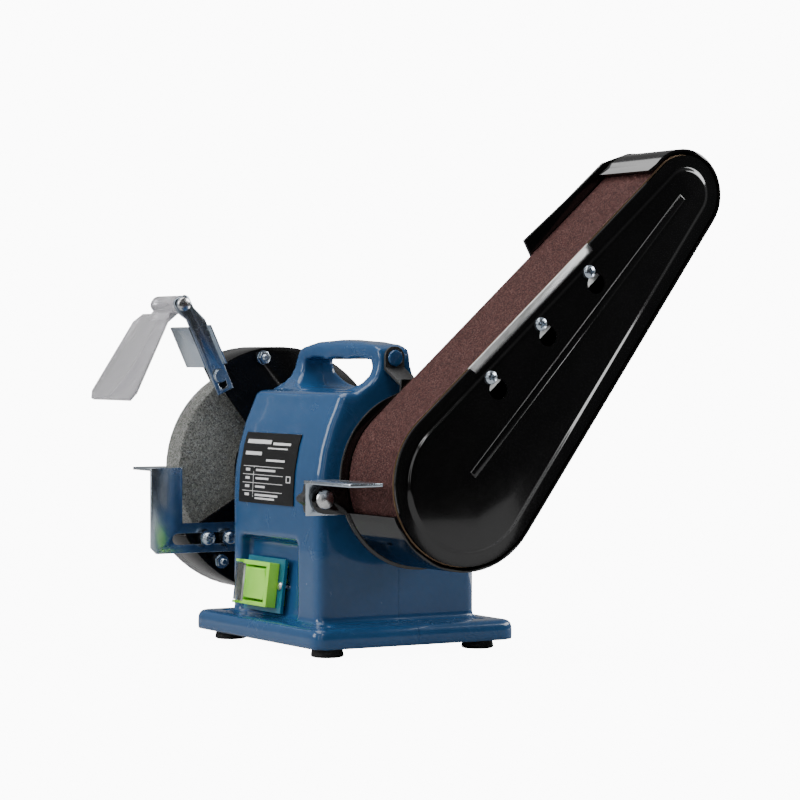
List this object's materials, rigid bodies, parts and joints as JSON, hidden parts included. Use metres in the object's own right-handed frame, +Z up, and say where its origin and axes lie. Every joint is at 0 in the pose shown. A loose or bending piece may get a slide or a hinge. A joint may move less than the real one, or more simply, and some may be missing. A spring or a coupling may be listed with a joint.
{
  "type": "bench belt grinder",
  "caption": "Bench grinder with a guarded grinding wheel on one end of its motor shaft and a tilting abrasive belt arm on the other.",
  "frame": {"origin": "on the floor under the middle of the whole object's box, with the belt arm in its usual sloping place", "axes": "+X along the motor shaft towards the belt arm, -Y to the side with the switch where the user stands, +Z up"},
  "size_m": [0.2968, 0.2894, 0.3024],
  "materials": {
    "blue_enamel": "glossy blue enamel on cast aluminium",
    "black_enamel": "glossy black paint on pressed steel",
    "matt_black": "matt black paint",
    "zinc_plate": "bright zinc plate",
    "bright_steel": "turned steel",
    "cast_aluminium": "turned cast aluminium",
    "motor_laminations": "stacked steel laminations",
    "copper_winding": "lacquered copper wire",
    "black_rubber": "moulded rubber",
    "grey_abrasive_stone": "grey bonded abrasive",
    "brown_abrasive_cloth": "brown abrasive cloth",
    "smoky_clear_plastic": "slightly smoky clear plastic",
    "green_plastic": "bright green plastic",
    "switch_plate_blue": "dark blue-green plastic",
    "label_black": "black printed foil",
    "black_plastic": "black moulded plastic"
  },
  "bodies": {
    "stand": {"front_housing": "blue_enamel", "rear_housing": "blue_enamel", "base_plate": "zinc_plate", "foot_front_left": "black_rubber", "foot_front_right": "black_rubber", "foot_rear_left": "black_rubber", "foot_rear_right": "black_rubber", "motor_stator": "motor_laminations", "stator_winding": "copper_winding", "bearing_left": "bright_steel", "bearing_right": "bright_steel", "run_capacitor": "black_plastic", "switch_plate": "switch_plate_blue", "switch_screw": "bright_steel", "switch_body": "green_plastic", "rating_plate": "label_black", "guard_bolt_1": "zinc_plate", "guard_bolt_2": "zinc_plate", "guard_bolt_3": "zinc_plate", "wheel_rest_bolt_1": "zinc_plate", "wheel_rest_bolt_2": "zinc_plate", "shield_bracket_bolt": "zinc_plate", "wheel_guard": "black_enamel", "wheel_guard_cover": "black_enamel"},
    "motor_rotor": {"motor_shaft": "bright_steel", "rotor": "motor_laminations", "grinding_wheel": "grey_abrasive_stone", "wheel_flange_inner": "bright_steel", "wheel_flange_outer": "bright_steel", "wheel_nut": "zinc_plate", "drive_drum": "cast_aluminium", "drum_nut": "zinc_plate"},
    "rocker": {"switch_rocker": "green_plastic"},
    "flap": {"switch_flap": "smoky_clear_plastic"},
    "wheel_work_rest": {"wheel_rest": "zinc_plate"},
    "shield_bracket": {"eye_shield_bracket": "zinc_plate", "shield_hinge_screw": "bright_steel"},
    "shield": {"eye_shield": "smoky_clear_plastic"},
    "belt_arm": {"arm_frame": "black_enamel", "abrasive_belt": "brown_abrasive_cloth", "platen": "zinc_plate", "cover_screw_1": "zinc_plate", "cover_screw_2": "zinc_plate", "cover_screw_3": "zinc_plate", "arm_hub": "matt_black", "arm_clamp_bolt": "zinc_plate", "arm_stay": "matt_black", "stay_screw": "blue_enamel", "slide_guide_1": "zinc_plate", "slide_guide_2": "zinc_plate", "tension_spring": "bright_steel", "belt_rest_bolt": "bright_steel"},
    "side_cover": {"arm_side_cover": "black_enamel"},
    "tensioner": {"tension_plate": "zinc_plate", "idler_axle": "bright_steel"},
    "tracking": {"tracking_knob": "black_plastic"},
    "idler": {"idler_roller": "cast_aluminium", "idler_bearings": "bright_steel"},
    "belt_work_rest": {"belt_rest": "zinc_plate"},
    "rest_knob": {"belt_rest_knob": "black_plastic"}
  },
  "joints": [
    {"name": "shaft_spin", "type": "hinge", "parent": "stand", "child": "motor_rotor", "pos_m": [0.0076, -0.03671, 0.104], "axis": [1, 0, 0], "continuous": true},
    {"name": "arm_tilt", "type": "hinge", "parent": "stand", "child": "belt_arm", "pos_m": [0.0776, -0.03671, 0.104], "axis": [1, 0, 0], "range_deg": [-48, 42]},
    {"name": "rocker_press", "type": "hinge", "parent": "stand", "child": "rocker", "pos_m": [-0.00665, -0.09022, 0.0375], "axis": [1, 0, 0], "range_deg": [-10, 0]},
    {"name": "flap_lift", "type": "hinge", "parent": "stand", "child": "flap", "pos_m": [-0.0268, -0.09904, 0.03869], "axis": [0, 0.1219, 0.9925], "range_deg": [-110, 0]},
    {"name": "wheel_rest_slide", "type": "slide", "parent": "stand", "child": "wheel_work_rest", "axis": [0, 1, 0], "range_m": [-0.009, 0.003]},
    {"name": "shield_bracket_slide", "type": "slide", "parent": "stand", "child": "shield_bracket", "axis": [0, -0.4191, 0.908], "range_m": [0, 0.006]},
    {"name": "shield_hinge", "type": "hinge", "parent": "shield_bracket", "child": "shield", "pos_m": [-0.1044, -0.10658, 0.20978], "axis": [1, 0, 0], "range_deg": [-80, 10]},
    {"name": "cover_release", "type": "slide", "parent": "belt_arm", "child": "side_cover", "axis": [0, -0.7431, 0.6691], "range_m": [0, 0.008]},
    {"name": "tension_slide", "type": "slide", "parent": "belt_arm", "child": "tensioner", "axis": [0, 0.6691, 0.7431], "range_m": [-0.008, 0], "stiffness_N_per_m": 900, "springref_m": 0.004, "deforming": ["tension_spring"]},
    {"name": "tracking_turn", "type": "hinge", "parent": "tensioner", "child": "tracking", "pos_m": [0.0816, 0.09719, 0.25271], "axis": [1, 0, 0], "range_deg": [-180, 180]},
    {"name": "idler_spin", "type": "hinge", "parent": "tensioner", "child": "idler", "pos_m": [0.1156, 0.11726, 0.27501], "axis": [1, 0, 0], "continuous": true},
    {"name": "belt_rest_slide", "type": "slide", "parent": "belt_arm", "child": "belt_work_rest", "axis": [0, 1, 0], "range_m": [-0.006, 0]},
    {"name": "rest_knob_turn", "type": "hinge", "parent": "belt_arm", "child": "rest_knob", "pos_m": [0.0776, -0.10071, 0.094], "axis": [1, 0, 0], "range_deg": [-180, 180]}
  ],
  "couplings": [
    {"joint": "idler_spin", "follows": "shaft_spin", "ratio": 2.087}
  ]
}
